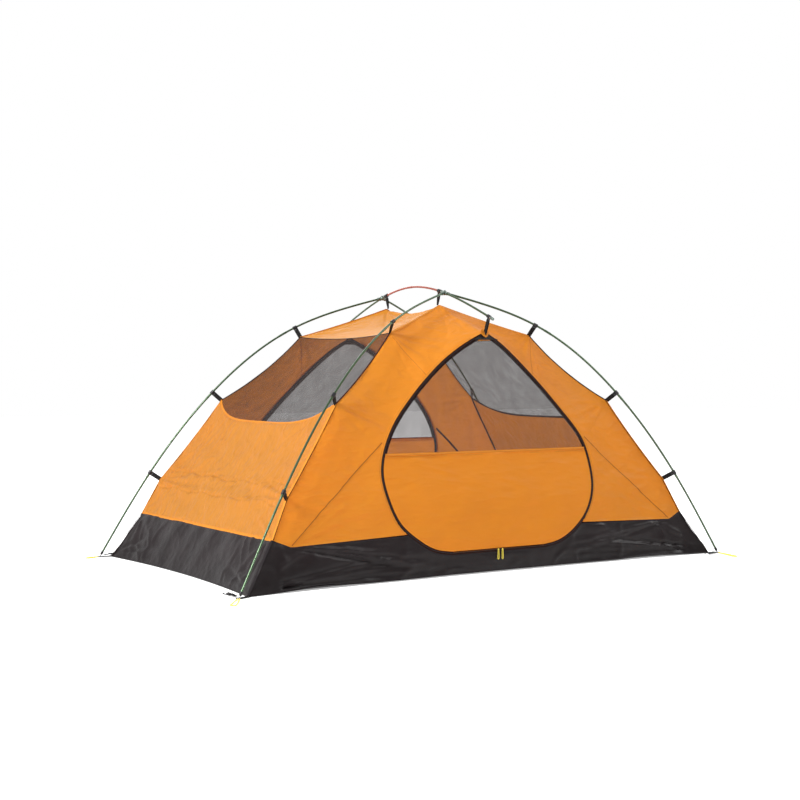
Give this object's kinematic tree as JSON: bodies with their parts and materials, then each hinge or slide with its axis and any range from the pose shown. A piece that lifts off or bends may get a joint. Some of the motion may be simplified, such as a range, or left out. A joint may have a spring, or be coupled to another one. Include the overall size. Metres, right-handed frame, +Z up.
{
  "type": "backpacking tent on poles",
  "caption": "Two-person backpacking inner tent pitched on a hubbed pole frame, with bathtub floor, mesh windows and a zipped teardrop door on each long side.",
  "frame": {"origin": "centre of the floor, on the ground", "axes": "+X along the long side, -Y towards the front door, +Z up"},
  "size_m": [2.4723, 1.5211, 1.1422],
  "materials": {
    "orange_cloth": "orange 68D polyester taffeta, plain weave, satin sheen, thin enough to glow against light",
    "charcoal_cloth": "charcoal coated polyester groundsheet, slight sheen, tension creases",
    "dark_mesh": "fine charcoal no-see-um mesh, see-through",
    "black_webbing": "black woven nylon webbing and moulded hook",
    "black_plastic": "black moulded acetal",
    "zip_tape": "dark zip tape with nylon coil",
    "green_pole": "dark green-grey anodised aluminium tube",
    "red_pole": "red anodised aluminium tube",
    "hub_metal": "dark anodised aluminium hub",
    "yellow_cord": "yellow braided polyester cord"
  },
  "bodies": {
    "tent": {"leg_pole_front_left": "green_pole", "leg_pole_front_right": "green_pole", "leg_pole_rear_left": "green_pole", "leg_pole_rear_right": "green_pole", "brow_pole_front": "green_pole", "hub_front": "hub_metal", "hub_clip_front": "black_webbing", "brow_strap_front": "black_webbing", "brow_pole_rear": "green_pole", "hub_rear": "hub_metal", "hub_clip_rear": "black_webbing", "brow_strap_rear": "black_webbing", "ridge_pole": "red_pole", "clip_front_left_low": "black_webbing", "clip_front_left_middle": "black_webbing", "clip_front_left_high": "black_webbing", "clip_front_right_low": "black_webbing", "clip_front_right_middle": "black_webbing", "clip_front_right_high": "black_webbing", "clip_rear_left_low": "black_webbing", "clip_rear_left_middle": "black_webbing", "clip_rear_left_high": "black_webbing", "clip_rear_right_low": "black_webbing", "clip_rear_right_middle": "black_webbing", "clip_rear_right_high": "black_webbing", "tub_floor": "charcoal_cloth", "roof_panel": "orange_cloth", "end_wall_left": "orange_cloth", "window_mesh_left": "dark_mesh", "end_wall_right": "orange_cloth", "window_mesh_right": "dark_mesh", "door_wall_front": "orange_cloth", "door_zip_front": "zip_tape", "door_wall_rear": "orange_cloth", "door_zip_rear": "zip_tape", "corner_tab_front_left": "black_webbing", "peg_loop_front_left": "yellow_cord", "corner_tab_front_right": "black_webbing", "peg_loop_front_right": "yellow_cord", "corner_tab_rear_left": "black_webbing", "peg_loop_rear_left": "yellow_cord", "corner_tab_rear_right": "black_webbing", "peg_loop_rear_right": "yellow_cord"},
    "door_front": {"door_cloth_front": "orange_cloth", "door_mesh_front": "dark_mesh"},
    "slider_front_left": {"zip_slider_front_left": "black_plastic"},
    "pull_front_left": {"zip_pull_front_left": "yellow_cord"},
    "slider_front_right": {"zip_slider_front_right": "black_plastic"},
    "pull_front_right": {"zip_pull_front_right": "yellow_cord"},
    "door_rear": {"door_cloth_rear": "orange_cloth", "door_mesh_rear": "dark_mesh"},
    "slider_rear_left": {"zip_slider_rear_left": "black_plastic"},
    "pull_rear_left": {"zip_pull_rear_left": "yellow_cord"},
    "slider_rear_right": {"zip_slider_rear_right": "black_plastic"},
    "pull_rear_right": {"zip_pull_rear_right": "yellow_cord"},
    "buckle_front_left": {"fly_buckle_front_left": "black_plastic"},
    "buckle_front_right": {"fly_buckle_front_right": "black_plastic"},
    "buckle_rear_left": {"fly_buckle_rear_left": "black_plastic"},
    "buckle_rear_right": {"fly_buckle_rear_right": "black_plastic"}
  },
  "joints": [
    {"name": "door_swing_front", "type": "hinge", "parent": "tent", "child": "door_front", "pos_m": [0, -0.519, 0.925], "axis": [-1, 0, 0], "range_deg": [0, 80]},
    {"name": "zip_slide_front_left", "type": "slide", "parent": "tent", "child": "slider_front_left", "axis": [-1, 0, 0], "range_m": [0, 0.2]},
    {"name": "pull_swing_front_left", "type": "hinge", "parent": "slider_front_left", "child": "pull_front_left", "pos_m": [-0.01, -0.6236, 0.092], "axis": [-1, 0, 0], "range_deg": [0, 170]},
    {"name": "zip_slide_front_right", "type": "slide", "parent": "tent", "child": "slider_front_right", "axis": [1, 0, 0], "range_m": [0, 0.2]},
    {"name": "pull_swing_front_right", "type": "hinge", "parent": "slider_front_right", "child": "pull_front_right", "pos_m": [0.01, -0.6236, 0.092], "axis": [-1, 0, 0], "range_deg": [0, 170]},
    {"name": "door_swing_rear", "type": "hinge", "parent": "tent", "child": "door_rear", "pos_m": [0, 0.519, 0.925], "axis": [1, 0, 0], "range_deg": [0, 80]},
    {"name": "zip_slide_rear_left", "type": "slide", "parent": "tent", "child": "slider_rear_left", "axis": [-1, 0, 0], "range_m": [0, 0.2]},
    {"name": "pull_swing_rear_left", "type": "hinge", "parent": "slider_rear_left", "child": "pull_rear_left", "pos_m": [-0.01, 0.6236, 0.092], "axis": [1, 0, 0], "range_deg": [0, 170]},
    {"name": "zip_slide_rear_right", "type": "slide", "parent": "tent", "child": "slider_rear_right", "axis": [1, 0, 0], "range_m": [0, 0.2]},
    {"name": "pull_swing_rear_right", "type": "hinge", "parent": "slider_rear_right", "child": "pull_rear_right", "pos_m": [0.01, 0.6236, 0.092], "axis": [1, 0, 0], "range_deg": [0, 170]},
    {"name": "buckle_swing_front_left", "type": "hinge", "parent": "tent", "child": "buckle_front_left", "pos_m": [-1.1406, -0.63701, 0.007], "axis": [0.9996, 0.03, 0], "range_deg": [0, 45]},
    {"name": "buckle_swing_front_right", "type": "hinge", "parent": "tent", "child": "buckle_front_right", "pos_m": [1.12118, -0.66377, 0.007], "axis": [-0.3387, 0.9409, 0], "range_deg": [0, 45]},
    {"name": "buckle_swing_rear_left", "type": "hinge", "parent": "tent", "child": "buckle_rear_left", "pos_m": [-1.12118, 0.66377, 0.007], "axis": [0.3387, -0.9409, 0], "range_deg": [0, 45]},
    {"name": "buckle_swing_rear_right", "type": "hinge", "parent": "tent", "child": "buckle_rear_right", "pos_m": [1.1406, 0.63701, 0.007], "axis": [-0.9996, -0.03, 0], "range_deg": [0, 45]}
  ]
}
